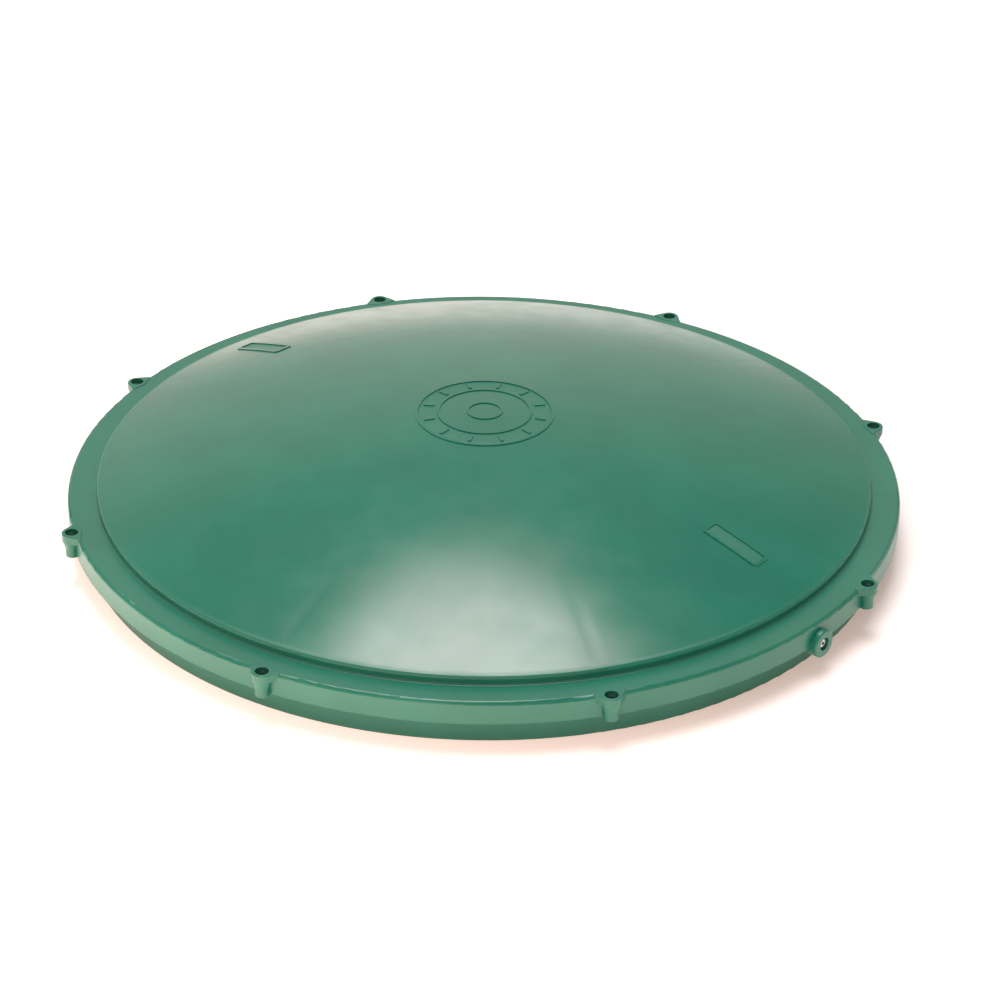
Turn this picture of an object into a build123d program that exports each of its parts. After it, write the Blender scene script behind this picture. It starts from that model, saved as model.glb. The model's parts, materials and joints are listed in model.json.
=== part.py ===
from build123d import *
import os
from math import cos, radians, sin, sqrt

# Domed access lid for a round riser: one moulded shell, a foamed-in gasket and nine safety screws.
# Millimetres. +Z is up, and the origin is on the lid's axis, level with the lower edge that it stands on.
# Lug 1 is on +X and the other lugs follow every 45 degrees, anticlockwise from above.

# Driving dimensions of the shell: radii from the axis, and heights above the lower edge
RIM_R = 343.0            # outside of the rim, a nominal 27 in
RIM_TOP = 43.0
RIM_EDGE_FILLET = 3.0
DOME_R = 319.0           # foot of the dome
DOME_EDGE = 50.0         # the dome's edge stands above the rim on an upright step
DOME_TOP = 106.0
DOME_EDGE_FILLET = 2.5
STEP_FOOT_FILLET = 2.0
WALL = 5.0
BAND_BOTTOM = 23.0       # lower edge of the outer band
BAND_WALL = 4.5
CHANNEL_WALL_R = RIM_R - BAND_WALL  # inside of the outer band
SPIGOT_R = 329.5         # outside of the lower band that enters the riser
CHANNEL_ROOF = 35.0      # roof of the channel that takes the riser's edge
BOTTOM_FILLET = 1.5

# Gasket, foamed into a groove in the channel's roof
GASKET_INNER_R = 332.0
GASKET_OUTER_R = 337.0
GASKET_TOP = 38.5
GASKET_BOTTOM = 33.5
GASKET_FILLET = 1.2

# Ribs under the dome
RIB_COUNT = 16
RIB_THICKNESS = 3.5
RIB_DEPTH = 13.0         # below the dome's underside
HUB_R = 45.0             # ring where the ribs meet
RING_RIB_R = 185.0

# Screw lugs
LUG_COUNT = 8
LUG_CIRCLE_R = 345.0
LUG_TOP = 43.6
LUG_RING_R = 8.2
LUG_RING_BOTTOM = 37.0
LUG_FLARE_BOTTOM = 30.0
LUG_COLUMN_R = 5.7
LUG_BOTTOM = 22.5
LUG_EAR_SPREAD = 11.5    # half width of the lug's root on the rim
LUG_EAR_ROOT_R = 1.5
LUG_EAR_ROOT_AT = 340.5  # distance of the root's corners from the lid's axis
LUG_EDGE_FILLET = 0.8
SEAT = 34.0              # where the washer lies
SOCKET_ROOF = 30.5       # top of the socket for the riser's screw post
SOCKET_R = 3.9

# Side boss: a round pad that hangs below the outer band, for the screw that goes in from the side
BOSS_ANGLE = -56.8
BOSS_FACE_R = 348.5      # distance of the boss's face from the axis
BOSS_R = 11.5
BOSS_HEIGHT = 24.6
BOSS_SEAT_R = 342.5
BOSS_EDGE_FILLET = 1.5

# Recess and clearance hole, the same in the lugs and the boss
RECESS_R = 5.4
CLEARANCE_R = 2.75
CUT_OVERRUN = 1.0        # the side hole is cut this far past the band's curved inside

# Screws: pan head, square drive, thread for plastic
THREAD_R = 2.4
NECK_R = 2.1
NECK_LENGTH = 5.0
LUG_SHANK = 12.0         # length under the head, in the lugs
BOSS_SHANK = 10.0
POINT_LENGTH = 1.6
POINT_R = 1.2
HEAD_R = 4.7
HEAD_HEIGHT = 3.2
HEAD_RIM = 1.0           # height of the head's upright edge
HEAD_TOP_R = 2.4         # flat around the drive
DRIVE_SQUARE = 2.9
DRIVE_DEPTH = 2.0

# Washers
WASHER_R = 4.9
WASHER_HOLE_R = 2.5
WASHER_THICKNESS = 1.2
WASHER_CHAMFER = 0.2

# Raised marks on the dome
RELIEF = 0.8             # height above the dome
EMBLEM_RINGS = ((56.0, 2.4), (38.0, 1.8), (14.0, 1.8))  # mean radius and width
EMBLEM_TICKS = 12
TICK_LENGTH = 9.0
TICK_WIDTH = 2.6
TICK_R = 47.0
MARK_PLACES = ((-54.2, 251.0), (119.2, 271.0))  # angle and distance of each side mark's middle
MARK_LENGTH = 53.0       # along the radius
MARK_WIDTH = 19.0
MARK_CORNER_R = 4.0
MARK_LINE = 2.8          # width of the raised outline


def sphere_radius(rise, foot_r):
    return (foot_r**2 + rise**2) / (2 * rise)


def direction(angle):
    return Vector(cos(radians(angle)), sin(radians(angle)), 0)


SPHERE_R = sphere_radius(DOME_TOP - DOME_EDGE, DOME_R)
SPHERE_Z = DOME_TOP - SPHERE_R


def dome_height(r, offset=0.0):
    """Height of the dome at distance r from the axis, on a sphere offset from the dome's outside."""
    return SPHERE_Z + sqrt((SPHERE_R + offset)**2 - r**2)


def dome_point(r, offset=0.0):
    return (r, dome_height(r, offset))


def lug_angle(index):
    return index * 360 / LUG_COUNT


def boss_plane(r):
    """Plane across the side boss at distance r from the axis, facing outwards."""
    out = direction(BOSS_ANGLE)
    return Plane(origin=out * r + Vector(0, 0, BOSS_HEIGHT), x_dir=(0, 0, 1), z_dir=out)


# One lug, on +X: an ear that merges into the rim, a flare and a column. The holes come later.
with BuildPart() as lug:
    with BuildSketch(Plane.XY.offset(LUG_RING_BOTTOM)) as ear:
        with Locations((LUG_CIRCLE_R, 0)):
            Circle(LUG_RING_R)
        with Locations((LUG_EAR_ROOT_AT, LUG_EAR_SPREAD), (LUG_EAR_ROOT_AT, -LUG_EAR_SPREAD)):
            Circle(LUG_EAR_ROOT_R)
        make_hull()
    extrude(amount=LUG_TOP - LUG_RING_BOTTOM)
    fillet(lug.edges().group_by(Axis.Z)[-1], LUG_EDGE_FILLET)
    with BuildSketch(Plane.XZ) as column_section:
        with BuildLine():
            Polyline(
                (LUG_CIRCLE_R, LUG_RING_BOTTOM),
                (LUG_CIRCLE_R + LUG_RING_R, LUG_RING_BOTTOM),
                (LUG_CIRCLE_R + LUG_COLUMN_R, LUG_FLARE_BOTTOM),
                (LUG_CIRCLE_R + LUG_COLUMN_R, LUG_BOTTOM),
                (LUG_CIRCLE_R, LUG_BOTTOM),
                close=True,
            )
        make_face()
    revolve(axis=Axis((LUG_CIRCLE_R, 0, 0), (0, 0, 1)))
    fillet(lug.faces().sort_by(Axis.Z)[0].edges(), LUG_EDGE_FILLET)
    # none of it stands in the channel or in the gasket's groove
    with BuildSketch(Plane.XY.offset(LUG_BOTTOM)):
        Circle(CHANNEL_WALL_R)
    extrude(amount=GASKET_TOP - LUG_BOTTOM, mode=Mode.SUBTRACT)


# Raised marks: flat shapes, trimmed to a thin layer that follows the dome.
with BuildPart() as relief:
    with BuildSketch(Plane.XY):
        for ring_r, ring_width in EMBLEM_RINGS:
            Circle(ring_r + ring_width / 2)
            Circle(ring_r - ring_width / 2, mode=Mode.SUBTRACT)
        with PolarLocations(TICK_R, EMBLEM_TICKS):
            Rectangle(TICK_LENGTH, TICK_WIDTH)
        for angle, middle_r in MARK_PLACES:
            with Locations(Location(direction(angle) * middle_r, (0, 0, angle))):
                RectangleRounded(MARK_LENGTH, MARK_WIDTH, MARK_CORNER_R)
                RectangleRounded(
                    MARK_LENGTH - 2 * MARK_LINE,
                    MARK_WIDTH - 2 * MARK_LINE,
                    MARK_CORNER_R - MARK_LINE,
                    mode=Mode.SUBTRACT,
                )
    extrude(amount=DOME_TOP + RELIEF)
    with Locations((0, 0, SPHERE_Z)):
        Sphere(SPHERE_R + RELIEF, mode=Mode.INTERSECT)
        Sphere(SPHERE_R - WALL / 2, mode=Mode.SUBTRACT)


# Ribs hang from the dome: their tops run inside its wall, and their lower edges follow it.
RIB_ROOT = -WALL / 2
RIB_EDGE = -WALL - RIB_DEPTH
RIB_FOOT_R = DOME_R - WALL / 2
RIB_END_R = SPIGOT_R - WALL / 2


# One radial rib, on +X, from the hub to the spigot.
with BuildPart() as rib:
    with BuildSketch(Plane.XZ):
        mid_r = (HUB_R + RIB_FOOT_R) / 2
        with BuildLine():
            ThreePointArc(
                dome_point(HUB_R, RIB_ROOT), dome_point(mid_r, RIB_ROOT), dome_point(RIB_FOOT_R, RIB_ROOT)
            )
            Polyline(
                dome_point(RIB_FOOT_R, RIB_ROOT),
                (RIB_FOOT_R, RIM_TOP + RIB_ROOT),
                (RIB_END_R, RIM_TOP + RIB_ROOT),
                (RIB_END_R, RIM_TOP + RIB_EDGE),
                dome_point(RIB_FOOT_R, RIB_EDGE),
            )
            ThreePointArc(
                dome_point(RIB_FOOT_R, RIB_EDGE), dome_point(mid_r, RIB_EDGE), dome_point(HUB_R, RIB_EDGE)
            )
            Line(dome_point(HUB_R, RIB_EDGE), dome_point(HUB_R, RIB_ROOT))
        make_face()
    extrude(amount=RIB_THICKNESS / 2, both=True)


# The hub and the ring rib.
with BuildPart() as rings:
    for ring_r in (HUB_R, RING_RIB_R):
        with BuildSketch(Plane.XZ):
            with BuildLine():
                Polyline(
                    dome_point(ring_r - RIB_THICKNESS / 2, RIB_ROOT),
                    dome_point(ring_r + RIB_THICKNESS / 2, RIB_ROOT),
                    dome_point(ring_r + RIB_THICKNESS / 2, RIB_EDGE),
                    dome_point(ring_r - RIB_THICKNESS / 2, RIB_EDGE),
                    close=True,
                )
            make_face()
        revolve(axis=Axis.Z)


with BuildPart() as lid_shell:
    with BuildSketch(Plane.XZ) as section:
        inner_foot_r = DOME_R - WALL
        with BuildLine():
            ThreePointArc((0, DOME_TOP), dome_point(DOME_R / 2), (DOME_R, DOME_EDGE))
            Polyline(
                (DOME_R, DOME_EDGE),
                (DOME_R, RIM_TOP),
                (RIM_R, RIM_TOP),
                (RIM_R, BAND_BOTTOM),
                (CHANNEL_WALL_R, BAND_BOTTOM),
                (CHANNEL_WALL_R, CHANNEL_ROOF),
                (GASKET_OUTER_R, CHANNEL_ROOF),
                (GASKET_OUTER_R, GASKET_TOP),
                (GASKET_INNER_R, GASKET_TOP),
                (GASKET_INNER_R, CHANNEL_ROOF),
                (SPIGOT_R, CHANNEL_ROOF),
                (SPIGOT_R, 0),
                (SPIGOT_R - WALL, 0),
                (SPIGOT_R - WALL, RIM_TOP - WALL),
                (inner_foot_r, RIM_TOP - WALL),
                dome_point(inner_foot_r, -WALL),
            )
            ThreePointArc(
                dome_point(inner_foot_r, -WALL), dome_point(inner_foot_r / 2, -WALL), (0, DOME_TOP - WALL)
            )
            Line((0, DOME_TOP - WALL), (0, DOME_TOP))
        make_face()
        rounded = {
            (DOME_R, DOME_EDGE): DOME_EDGE_FILLET,
            (DOME_R, RIM_TOP): STEP_FOOT_FILLET,
            (RIM_R, RIM_TOP): RIM_EDGE_FILLET,
            (RIM_R, BAND_BOTTOM): BOTTOM_FILLET,
            (SPIGOT_R, 0): BOTTOM_FILLET,
            (SPIGOT_R - WALL, 0): BOTTOM_FILLET,
        }
        for (corner_r, corner_z), radius in rounded.items():
            # a sketch on the XZ plane has its own y where the part has z
            fillet(section.vertices().sort_by_distance((corner_r, corner_z, 0))[0], radius)
    revolve(axis=Axis.Z)

    # ribs, raised marks and lugs
    add(rings.part)
    with PolarLocations(0, RIB_COUNT):
        add(rib.part)
    add(relief.part)
    with PolarLocations(0, LUG_COUNT):
        add(lug.part)

    # the side boss, from the band's inside to its face
    with BuildSketch(boss_plane(CHANNEL_WALL_R)):
        Circle(BOSS_R)
    extrude(amount=BOSS_FACE_R - CHANNEL_WALL_R)
    boss_face = lid_shell.faces().sort_by_distance(boss_plane(BOSS_FACE_R).origin)[0]
    fillet(boss_face.edges(), BOSS_EDGE_FILLET)

    # holes for the vertical screws: recess from above, clearance hole, socket from below
    for top, bottom, radius in (
        (LUG_TOP, SEAT, RECESS_R),
        (SEAT, SOCKET_ROOF, CLEARANCE_R),
        (SOCKET_ROOF, LUG_BOTTOM, SOCKET_R),
    ):
        with BuildSketch(Plane.XY.offset(bottom)):
            with PolarLocations(LUG_CIRCLE_R, LUG_COUNT):
                Circle(radius)
        extrude(amount=top - bottom, mode=Mode.SUBTRACT)

    # holes for the side screw: recess from outside, clearance hole into the channel
    for outer_r, inner_r, radius in (
        (BOSS_FACE_R, BOSS_SEAT_R, RECESS_R),
        (BOSS_SEAT_R, CHANNEL_WALL_R - CUT_OVERRUN, CLEARANCE_R),
    ):
        with BuildSketch(boss_plane(inner_r)):
            Circle(radius)
        extrude(amount=outer_r - inner_r, mode=Mode.SUBTRACT)


with BuildPart() as gasket:
    with BuildSketch(Plane.XZ) as bead:
        with BuildLine():
            Polyline(
                (GASKET_INNER_R, GASKET_TOP),
                (GASKET_OUTER_R, GASKET_TOP),
                (GASKET_OUTER_R, GASKET_BOTTOM),
                (GASKET_INNER_R, GASKET_BOTTOM),
                close=True,
            )
        make_face()
        fillet(bead.vertices().group_by(Axis.Y)[0], GASKET_FILLET)
    revolve(axis=Axis.Z)


def screw(seat, shank):
    """A screw driven home: seat is the plane that its washer lies on, facing outwards."""
    under_head = seat.offset(WASHER_THICKNESS)
    section_plane = Plane(origin=under_head.origin, x_dir=under_head.x_dir, z_dir=-under_head.y_dir)
    with BuildPart() as body:
        with BuildSketch(section_plane):
            with BuildLine():
                Polyline((0, HEAD_HEIGHT), (0, -shank), (POINT_R, -shank))
                Polyline(
                    (POINT_R, -shank),
                    (THREAD_R, -shank + POINT_LENGTH),
                    (THREAD_R, -NECK_LENGTH),
                    (NECK_R, -NECK_LENGTH),
                    (NECK_R, 0),
                    (HEAD_R, 0),
                    (HEAD_R, HEAD_RIM),
                )
                TangentArc((HEAD_TOP_R, HEAD_HEIGHT), (HEAD_R, HEAD_RIM), tangent=(1, 0))
                Line((HEAD_TOP_R, HEAD_HEIGHT), (0, HEAD_HEIGHT))
            make_face()
        revolve(axis=Axis(under_head.origin, under_head.z_dir))
        with BuildSketch(under_head.offset(HEAD_HEIGHT - DRIVE_DEPTH)):
            Rectangle(DRIVE_SQUARE, DRIVE_SQUARE)
        extrude(amount=DRIVE_DEPTH, mode=Mode.SUBTRACT)
    return body.part


def washer(seat):
    """A flat sealing washer on its seat."""
    with BuildPart() as body:
        with BuildSketch(seat):
            Circle(WASHER_R)
            Circle(WASHER_HOLE_R, mode=Mode.SUBTRACT)
        extrude(amount=WASHER_THICKNESS)
        outer_edges = body.edges().filter_by(GeomType.CIRCLE).group_by(SortBy.RADIUS)[-1]
        chamfer(outer_edges, WASHER_CHAMFER)
    return body.part


def lug_seat(index):
    out = direction(lug_angle(index))
    return Plane(origin=out * LUG_CIRCLE_R + Vector(0, 0, SEAT), x_dir=out, z_dir=(0, 0, 1))


def save(part, name):
    part.label = name
    export_step(part, f"parts/{name}.step")


os.makedirs("parts", exist_ok=True)
save(lid_shell.part, "lid_shell")
save(gasket.part, "gasket")
for index in range(LUG_COUNT):
    save(screw(lug_seat(index), LUG_SHANK), f"vertical_screw_{index + 1}")
    save(washer(lug_seat(index)), f"vertical_washer_{index + 1}")
save(screw(boss_plane(BOSS_SEAT_R), BOSS_SHANK), "side_screw")
save(washer(boss_plane(BOSS_SEAT_R)), "side_washer")
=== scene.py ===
"""Looks for the domed access lid: glossy green moulded plastic, foam gasket, threaded stainless screws."""

import json
import math

import bmesh
import bpy
from mathutils import Matrix, Quaternion, Vector


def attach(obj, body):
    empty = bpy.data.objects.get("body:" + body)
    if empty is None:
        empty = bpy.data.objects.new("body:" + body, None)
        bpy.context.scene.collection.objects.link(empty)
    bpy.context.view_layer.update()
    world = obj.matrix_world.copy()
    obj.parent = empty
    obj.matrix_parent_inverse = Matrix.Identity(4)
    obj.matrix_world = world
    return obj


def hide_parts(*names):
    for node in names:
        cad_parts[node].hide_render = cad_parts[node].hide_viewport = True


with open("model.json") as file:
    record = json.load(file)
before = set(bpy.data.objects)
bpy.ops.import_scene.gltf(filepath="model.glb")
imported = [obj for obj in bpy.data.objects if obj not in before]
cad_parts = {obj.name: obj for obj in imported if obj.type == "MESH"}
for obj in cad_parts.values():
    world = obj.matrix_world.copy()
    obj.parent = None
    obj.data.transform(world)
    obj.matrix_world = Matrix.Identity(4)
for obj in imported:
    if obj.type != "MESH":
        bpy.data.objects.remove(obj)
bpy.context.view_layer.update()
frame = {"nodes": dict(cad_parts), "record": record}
nodes = frame["nodes"]

# Sizes of the lid, in metres
RIM_TOP = 0.043          # the flat rim's height above the lower edge
RIM_R = 0.343
DOME_R = 0.319
RIB_COUNT = 16
SINK_START = 0.20        # the sink marks appear from here outwards
SINK_FULL = 0.29
SINK_HALF_WIDTH = 0.009
EMBLEM_BAND = (0.0392, 0.0548)
MARK_PLACES = ((-54.2, 0.251), (119.2, 0.271))   # degrees from +X, and radius
MARK_HALF_SIZE = (0.0237, 0.0067)                # inside the outline, along and across the radius

# The screws: lengths are measured from under the head
LUG_COUNT = 8
LUG_CIRCLE_R = 0.345
LUG_SCREW_SEAT = 0.0352
LUG_SHANK = 0.012
SIDE_ANGLE = math.radians(-56.8)
SIDE_SCREW_SEAT_R = 0.3437
SIDE_SCREW_HEIGHT = 0.0246
SIDE_SHANK = 0.010
NECK_R = 0.0021
NECK_LENGTH = 0.005
THREAD_R = 0.0024
THREAD_ROOT_R = 0.0018
THREAD_PITCH = 0.0254 / 12
THREAD_FLANK = 0.3       # from the crest down to the root, as a share of the pitch
POINT_LENGTH = 0.0016
POINT_R = 0.0012
HEAD_R = 0.0047
HEAD_RIM = 0.001
HEAD_HEIGHT = 0.0032
HEAD_TOP_R = 0.0024
DRIVE_SQUARE = 0.0029
DRIVE_DEPTH = 0.002
AROUND = 48              # points round a screw
HEAD_STEPS = 8           # steps from the head's rim to its top
THREAD_ROWS = 12         # rows of points in one pitch

# The photograph's viewpoint: the camera looks at the middle of the rim's top
CAMERA_AZIMUTH = math.radians(-16.23)
CAMERA_ELEVATION = math.radians(29.12)
CAMERA_DISTANCE = 8.442 * RIM_R
CAMERA_LENS = 125.88
CAMERA_SENSOR = 36.0
CAMERA_ROLL = math.radians(0.49)
CAMERA_SHIFT = (0.0159, -0.0220)

# Horizontal directions as the camera has them
AWAY = Vector((-math.sin(CAMERA_AZIMUTH), math.cos(CAMERA_AZIMUTH), 0))
RIGHT = Vector((math.cos(CAMERA_AZIMUTH), math.sin(CAMERA_AZIMUTH), 0))
UP = Vector((0, 0, 1))

# Two softboxes lie flat, one above the other; size and place are shares of a box's height
SOFTBOX_COLOUR = (1.0, 0.86, 0.86)
WIDE_BOX = {"height": 8.0, "size": (0.66, 0.60), "along": 0.20, "across": -0.015, "radiance": 5.5}
LONG_BOX = {"height": 8.4, "size": (0.42, 0.70), "along": 0.34, "across": -0.035, "radiance": 5.0}

# How brightly the table's painted glow shines (emission, not a lamp), and how far from the lid's edge the
# glow begins
FLOOR_GLOW = 2.2
GLOW_START = 0.345
GLOW_FULL = 0.40
FLOOR_HALF_SIZE = 8

# The room's light, by the height and by the rightward part of a direction
WALLS = (
    (-1.0, (1.0, 0.80, 0.76)),
    (0.45, (0.96, 0.77, 0.73)),
    (0.54, (0.85, 0.74, 0.70)),
    (0.62, (0.55, 0.54, 0.54)),
    (1.0, (0.60, 0.58, 0.58)),
)
SIDES = (
    (-0.5, (0.9, 0.9, 0.9)),
    (0.0, (1.0, 1.0, 1.0)),
    (0.4, (0.5, 0.5, 0.5)),
)


# ---------------------------------------------------------------- camera and light

def make_camera():
    data = bpy.data.cameras.new("camera")
    data.lens = CAMERA_LENS
    data.sensor_width = CAMERA_SENSOR
    data.shift_x, data.shift_y = CAMERA_SHIFT
    data.clip_start = 0.1
    data.clip_end = 50
    camera = bpy.data.objects.new("camera", data)
    bpy.context.scene.collection.objects.link(camera)
    back = UP * math.sin(CAMERA_ELEVATION) - AWAY * math.cos(CAMERA_ELEVATION)
    camera.location = UP * RIM_TOP + back * CAMERA_DISTANCE
    camera.rotation_mode = "QUATERNION"
    aim = (-back).to_track_quat("-Z", "Y")
    camera.rotation_quaternion = aim @ Quaternion((0, 0, 1), CAMERA_ROLL)
    bpy.context.scene.camera = camera


def world_value(tree, value, stops):
    """A colour ramp on a value from -1 to 1."""
    shift = tree.nodes.new("ShaderNodeMapRange")
    shift.inputs["From Min"].default_value = -1
    tree.links.new(value, shift.inputs["Value"])
    ramp = tree.nodes.new("ShaderNodeValToRGB")
    tree.links.new(shift.outputs["Result"], ramp.inputs[0])
    for index, (place, colour) in enumerate(stops):
        if index < 2:
            stop = ramp.color_ramp.elements[index]
            stop.position = (place + 1) / 2
        else:
            stop = ramp.color_ramp.elements.new((place + 1) / 2)
        stop.color = (*colour, 1)
    return ramp.outputs[0]


def make_world():
    """A pale room: warm and bright up to a third of the way up, dimmer above and to the right."""
    world = bpy.data.worlds.new("studio")
    bpy.context.scene.world = world
    world.use_nodes = True
    tree = world.node_tree
    coords = tree.nodes.new("ShaderNodeTexCoord")
    height = tree.nodes.new("ShaderNodeSeparateXYZ")
    tree.links.new(coords.outputs["Generated"], height.inputs[0])
    sideways = tree.nodes.new("ShaderNodeVectorMath")
    sideways.operation = "DOT_PRODUCT"
    sideways.inputs[1].default_value = RIGHT
    tree.links.new(coords.outputs["Generated"], sideways.inputs[0])
    walls = world_value(tree, height.outputs["Z"], WALLS)
    sides = world_value(tree, sideways.outputs["Value"], SIDES)
    both = tree.nodes.new("ShaderNodeMix")
    both.data_type = "RGBA"
    both.blend_type = "MULTIPLY"
    both.inputs["Factor"].default_value = 1
    tree.links.new(walls, both.inputs[6])
    tree.links.new(sides, both.inputs[7])
    tree.links.new(both.outputs[2], tree.nodes["Background"].inputs["Color"])


def softbox(name, height, size, along, across, radiance):
    data = bpy.data.lights.new(name, "AREA")
    data.shape = "ELLIPSE"
    data.size, data.size_y = (height * share for share in size)
    data.energy = radiance * math.pi * math.pi / 4 * data.size * data.size_y
    data.color = SOFTBOX_COLOUR
    light = bpy.data.objects.new(name, data)
    bpy.context.scene.collection.objects.link(light)
    light.location = height * (UP + AWAY * along + RIGHT * across)
    light.rotation_mode = "QUATERNION"
    light.rotation_quaternion = Quaternion((0, 0, 1), CAMERA_AZIMUTH)


def make_lights():
    """Soft light from high up and a little behind the lid, brightest in its middle."""
    bpy.context.scene.view_settings.view_transform = "Standard"
    softbox("wide_softbox", **WIDE_BOX)
    softbox("long_softbox", **LONG_BOX)


make_camera()
make_world()
make_lights()


# ---------------------------------------------------------------- materials

class Shader:
    """A node material with short calls for what the materials here share."""

    def __init__(self, name):
        self.material = bpy.data.materials.new(name)
        self.material.use_nodes = True
        self.tree = self.material.node_tree
        self.surface = self.tree.nodes["Principled BSDF"]
        coords = self.tree.nodes.new("ShaderNodeTexCoord")
        self.coords = coords.outputs["Object"]
        self.normal = coords.outputs["Normal"]

    def node(self, kind, **settings):
        node = self.tree.nodes.new(kind)
        for key, value in settings.items():
            setattr(node, key, value)
        return node

    def link(self, source, target):
        self.tree.links.new(source, target)

    def fixed(self, **values):
        for name, value in values.items():
            self.surface.inputs[name.replace("_", " ")].default_value = value

    def along(self, direction):
        """How far a point lies along a horizontal direction."""
        node = self.node("ShaderNodeVectorMath", operation="DOT_PRODUCT")
        node.inputs[1].default_value = direction
        self.link(self.coords, node.inputs[0])
        return node.outputs["Value"]

    def radius(self):
        """A point's distance from the lid's axis."""
        x, y = self.plan()
        return self.math("SQRT", self.math("ADD", self.math("MULTIPLY", x, x), self.math("MULTIPLY", y, y)))

    def plan(self):
        """A point's X and Y."""
        split = self.node("ShaderNodeSeparateXYZ")
        self.link(self.coords, split.inputs[0])
        return split.outputs["X"], split.outputs["Y"]

    def facing_up(self):
        """1 on the outside of the dome, 0 underneath."""
        split = self.node("ShaderNodeSeparateXYZ")
        self.link(self.normal, split.inputs[0])
        return self.ramp(split.outputs["Z"], 0, 0.2, 0, 1)

    def within(self, value, half):
        """1 where value is within half of zero, 0 outside, with a soft edge."""
        return self.ramp(self.math("ABSOLUTE", value), half - 0.0004, half + 0.0002, 1, 0)

    def noise(self, scale, detail=2.0, roughness=0.5):
        node = self.node("ShaderNodeTexNoise")
        node.inputs["Scale"].default_value = scale
        node.inputs["Detail"].default_value = detail
        node.inputs["Roughness"].default_value = roughness
        self.link(self.coords, node.inputs["Vector"])
        return node.outputs["Fac"]

    def ramp(self, value, low, high, low_out, high_out):
        """value from low..high to low_out..high_out, clamped."""
        node = self.node("ShaderNodeMapRange")
        node.interpolation_type = "SMOOTHSTEP"
        for name, number in (
            ("From Min", low), ("From Max", high), ("To Min", low_out), ("To Max", high_out)
        ):
            node.inputs[name].default_value = number
        self.link(value, node.inputs["Value"])
        return node.outputs["Result"]

    def math(self, operation, first, second=None):
        node = self.node("ShaderNodeMath", operation=operation)
        for socket, value in zip(node.inputs, (first, second)):
            if value is None:
                continue
            if isinstance(value, (int, float)):
                socket.default_value = value
            else:
                self.link(value, socket)
        return node.outputs[0]

    def colour_mix(self, factor, first, second):
        node = self.node("ShaderNodeMix", data_type="RGBA")
        self.link(factor, node.inputs["Factor"])
        for socket, value in ((node.inputs[6], first), (node.inputs[7], second)):
            if isinstance(value, tuple):
                socket.default_value = (*value, 1)
            else:
                self.link(value, socket)
        return node.outputs[2]

    def bump(self, height, distance, strength=1.0, under=None):
        node = self.node("ShaderNodeBump")
        node.inputs["Distance"].default_value = distance
        node.inputs["Strength"].default_value = strength
        self.link(height, node.inputs["Height"])
        if under is not None:
            self.link(under, node.inputs["Normal"])
        return node.outputs["Normal"]


def sink_marks(s, radius):
    """Faint dents over the outer ends of the ribs, from 0 down to -1."""
    x, y = s.plan()
    turn = s.math("MULTIPLY", s.math("ARCTAN2", y, x), RIB_COUNT / (2 * math.pi))
    off = s.math("ABSOLUTE", s.math("SUBTRACT", turn, s.math("ROUND", turn)))
    across = s.math("MULTIPLY", s.math("MULTIPLY", off, radius), 2 * math.pi / RIB_COUNT)
    inside = s.ramp(radius, SINK_START, SINK_FULL, 0, 1)
    outside = s.ramp(radius, DOME_R - 0.012, DOME_R - 0.004, 1, 0)
    return s.math("MULTIPLY", s.ramp(across, 0, SINK_HALF_WIDTH, -1, 0), s.math("MULTIPLY", inside, outside))


def stippled_areas(s, radius):
    """1 in the emblem's band and inside the two marks, 0 elsewhere."""
    low, high = EMBLEM_BAND
    areas = s.within(s.math("SUBTRACT", radius, (low + high) / 2), (high - low) / 2)
    for degrees, place in MARK_PLACES:
        angle = math.radians(degrees)
        outward = Vector((math.cos(angle), math.sin(angle), 0))
        sideways = Vector((-math.sin(angle), math.cos(angle), 0))
        length = s.within(s.math("SUBTRACT", s.along(outward), place), MARK_HALF_SIZE[0])
        width = s.within(s.along(sideways), MARK_HALF_SIZE[1])
        areas = s.math("MAXIMUM", areas, s.math("MULTIPLY", length, width))
    return areas


def shell_plastic():
    """Glossy moulded polyethylene, faintly sunk over the ribs, with stippled marks."""
    s = Shader("shell_plastic")
    mottle = s.noise(14, 3)
    tone = s.colour_mix(s.ramp(mottle, 0.35, 0.65, 0, 1), (0.008, 0.168, 0.104), (0.010, 0.186, 0.116))
    s.link(tone, s.surface.inputs["Base Color"])

    radius = s.radius()
    stipple = s.math("MULTIPLY", stippled_areas(s, radius), s.facing_up())
    grain = s.math("MULTIPLY", s.noise(900, 3), stipple)
    normal = s.bump(s.noise(7, 1), 0.0006)
    normal = s.bump(sink_marks(s, radius), 0.00005, under=normal)
    normal = s.bump(s.noise(260, 1), 0.000008, under=normal)
    normal = s.bump(grain, 0.00025, under=normal)
    s.link(normal, s.surface.inputs["Normal"])

    haze = s.ramp(s.noise(38, 4), 0.3, 0.7, 0.19, 0.24)
    rim = s.ramp(radius, DOME_R - 0.006, DOME_R - 0.002, 0, 0.12)
    rough = s.math("ADD", s.math("ADD", haze, rim), s.math("MULTIPLY", stipple, 0.2))
    s.link(rough, s.surface.inputs["Roughness"])
    s.fixed(IOR=1.54)
    return s.material


def seal_foam():
    """Dark closed-cell foam."""
    s = Shader("seal_foam")
    cells = s.noise(900, 3)
    tone = s.colour_mix(s.ramp(cells, 0.3, 0.7, 0, 1), (0.028, 0.028, 0.028), (0.055, 0.055, 0.053))
    s.link(tone, s.surface.inputs["Base Color"])
    s.link(s.bump(cells, 0.0003), s.surface.inputs["Normal"])
    s.fixed(Roughness=0.85)
    return s.material


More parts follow.
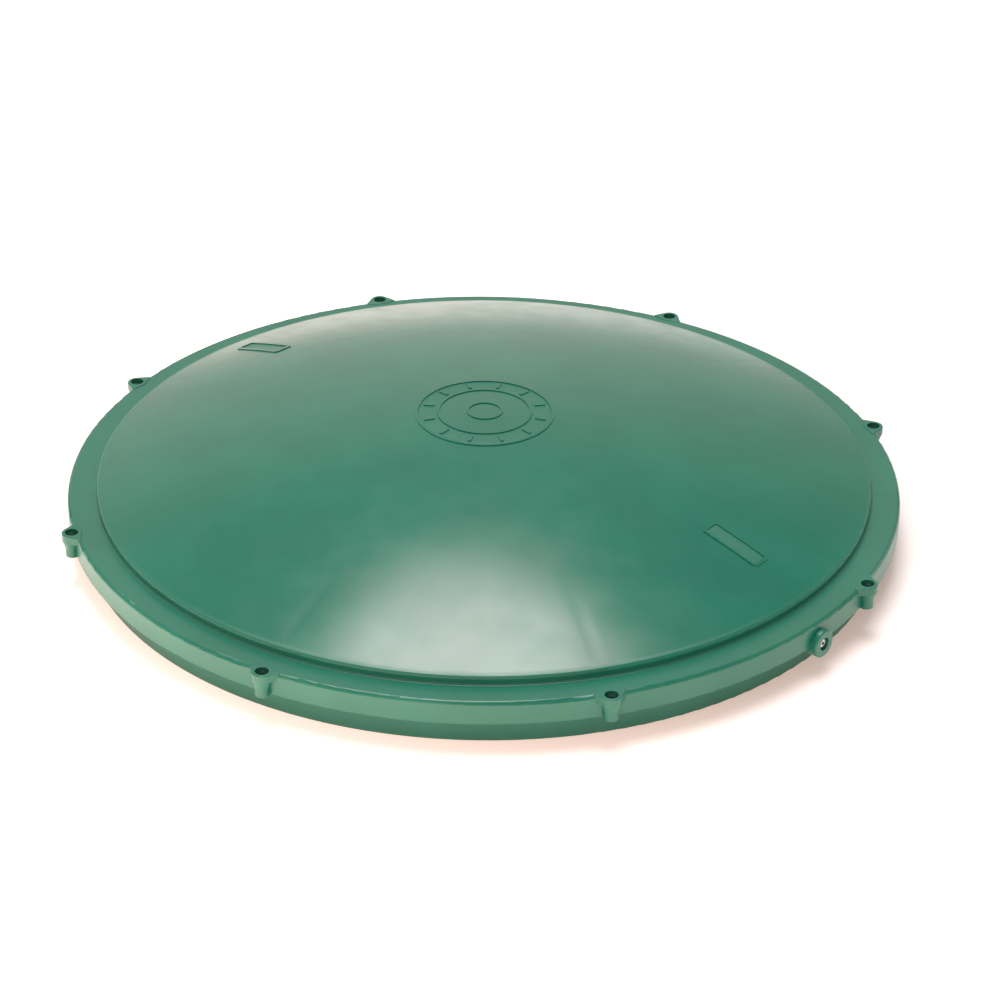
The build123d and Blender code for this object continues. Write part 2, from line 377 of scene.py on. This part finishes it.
def washer_rubber():
    """Black sealing rubber."""
    s = Shader("washer_rubber")
    grain = s.noise(1500, 2)
    tone = s.colour_mix(grain, (0.014, 0.014, 0.014), (0.03, 0.03, 0.03))
    s.link(tone, s.surface.inputs["Base Color"])
    s.link(s.bump(grain, 0.00005), s.surface.inputs["Normal"])
    s.fixed(Roughness=0.6)
    return s.material


def screw_steel():
    """Plain stainless steel with fine tooling marks."""
    s = Shader("screw_steel")
    grain = s.noise(2500, 3)
    tone = s.colour_mix(grain, (0.50, 0.51, 0.52), (0.62, 0.62, 0.62))
    s.link(tone, s.surface.inputs["Base Color"])
    s.link(s.ramp(grain, 0.3, 0.7, 0.24, 0.40), s.surface.inputs["Roughness"])
    s.link(s.bump(grain, 0.00003), s.surface.inputs["Normal"])
    s.fixed(Metallic=1.0)
    return s.material


def floor_with_painted_glow():
    """White studio table with a warm painted glow, stronger in front and on the left, dimmed next to the lid
    as painted shade.
    """
    s = Shader("floor_with_painted_glow")
    tone = s.colour_mix(s.noise(3, 2), (0.72, 0.80, 0.81), (0.74, 0.82, 0.83))
    s.link(tone, s.surface.inputs["Base Color"])
    s.fixed(Roughness=0.9, Emission_Color=(1.0, 0.66, 0.56, 1))
    # painted light: the glow is stronger in front and on the left, standing in for uneven light
    front = s.ramp(s.along(AWAY), -0.45, 0.35, 1, 0.3)
    left = s.ramp(s.along(RIGHT), -0.6, 0.6, 1.6, 0.35)
    # painted shade: the glow falls to 0.4 next to the lid, so the skirt's lower band reflects a darker floor
    clear = s.ramp(s.radius(), GLOW_START, GLOW_FULL, 0.4, 1)
    glow = s.math("MULTIPLY", s.math("MULTIPLY", front, left), clear)
    s.link(s.math("MULTIPLY", glow, FLOOR_GLOW), s.surface.inputs["Emission Strength"])
    return s.material


MAKERS = {
    "shell_plastic": shell_plastic,
    "seal_foam": seal_foam,
    "washer_rubber": washer_rubber,
    "screw_steel": screw_steel,
}
materials = {slot: make() for slot, make in MAKERS.items()}


def paint(piece, material):
    piece.data.materials.clear()
    piece.data.materials.append(material)


for entry in frame["record"]["subparts"]:
    paint(nodes[entry["node"]], materials[entry["material_slot"]])


# ---------------------------------------------------------------- screws

def circle(radius):
    """A ring's radius at any angle."""
    return lambda angle: radius


def square(side):
    """The distance from a square's middle to its edge at any angle."""
    return lambda angle: side / 2 / max(abs(math.cos(angle)), abs(math.sin(angle)))


def thread(height, crest):
    """The thread's radius at any angle, one height down the shank; its crest is held under the given one."""
    def radius(angle):
        phase = (height / THREAD_PITCH - angle / (2 * math.pi)) % 1
        ridge = max(0, 1 - abs(phase - 0.5) / THREAD_FLANK)
        return min(crest, THREAD_ROOT_R + (THREAD_R - THREAD_ROOT_R) * ridge)
    return radius


def screw_rings(shank):
    """Rings from the point to the bottom of the drive, each a height and a radius at any angle."""
    rings = []
    rows = round((shank - NECK_LENGTH) / THREAD_PITCH * THREAD_ROWS)
    for row in range(rows + 1):
        height = -shank + (shank - NECK_LENGTH) * row / rows
        from_tip = height + shank
        crest = POINT_R + (THREAD_R - POINT_R) * min(1, from_tip / POINT_LENGTH)
        rings.append((height, thread(height, crest)))
    rings.append((-NECK_LENGTH + THREAD_PITCH / THREAD_ROWS, circle(NECK_R)))
    rings.append((0, circle(NECK_R)))
    rings.append((0, circle(HEAD_R)))
    dome_height = HEAD_HEIGHT - HEAD_RIM
    for step in range(HEAD_STEPS + 1):
        turn = step / HEAD_STEPS * math.pi / 2
        radius = HEAD_TOP_R + (HEAD_R - HEAD_TOP_R) * math.cos(turn)
        rings.append((HEAD_RIM + dome_height * math.sin(turn), circle(radius)))
    rings.append((HEAD_HEIGHT, square(DRIVE_SQUARE)))
    rings.append((HEAD_HEIGHT - DRIVE_DEPTH, square(DRIVE_SQUARE)))
    return rings


def make_screw(name, node, shank, seat, axis):
    """A threaded screw with a square drive, in place of the plain CAD one."""
    build = bmesh.new()
    loops = []
    for height, radius in screw_rings(shank):
        loop = []
        for step in range(AROUND):
            angle = 2 * math.pi * step / AROUND
            reach = radius(angle)
            loop.append(build.verts.new((reach * math.cos(angle), reach * math.sin(angle), height)))
        loops.append(loop)
    for below, above in zip(loops, loops[1:]):
        for step in range(AROUND):
            after = (step + 1) % AROUND
            build.faces.new((below[step], below[after], above[after], above[step]))
    build.faces.new(list(reversed(loops[0])))
    build.faces.new(loops[-1])
    build.transform(Matrix.Translation(seat) @ axis.to_track_quat("Z", "Y").to_matrix().to_4x4())
    mesh = bpy.data.meshes.new(name)
    build.to_mesh(mesh)
    build.free()
    mesh.shade_smooth()
    mesh.set_sharp_from_angle(angle=math.radians(35))
    piece = bpy.data.objects.new(name, mesh)
    bpy.context.scene.collection.objects.link(piece)
    paint(piece, materials["screw_steel"])
    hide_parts(node)
    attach(piece, node)


def make_screws():
    for index in range(LUG_COUNT):
        angle = 2 * math.pi * index / LUG_COUNT
        seat = Vector((math.cos(angle), math.sin(angle), 0)) * LUG_CIRCLE_R + UP * LUG_SCREW_SEAT
        make_screw(f"threaded_vertical_screw_{index + 1}", f"vertical_screw_{index + 1}", LUG_SHANK, seat, UP)
    outward = Vector((math.cos(SIDE_ANGLE), math.sin(SIDE_ANGLE), 0))
    seat = outward * SIDE_SCREW_SEAT_R + UP * SIDE_SCREW_HEIGHT
    make_screw("threaded_side_screw", "side_screw", SIDE_SHANK, seat, outward)


make_screws()


# ---------------------------------------------------------------- stage

def make_floor():
    mesh = bpy.data.meshes.new("floor")
    build = bmesh.new()
    bmesh.ops.create_grid(build, x_segments=1, y_segments=1, size=FLOOR_HALF_SIZE)
    build.to_mesh(mesh)
    build.free()
    floor = bpy.data.objects.new("floor", mesh)
    bpy.context.scene.collection.objects.link(floor)
    paint(floor, floor_with_painted_glow())


make_floor()
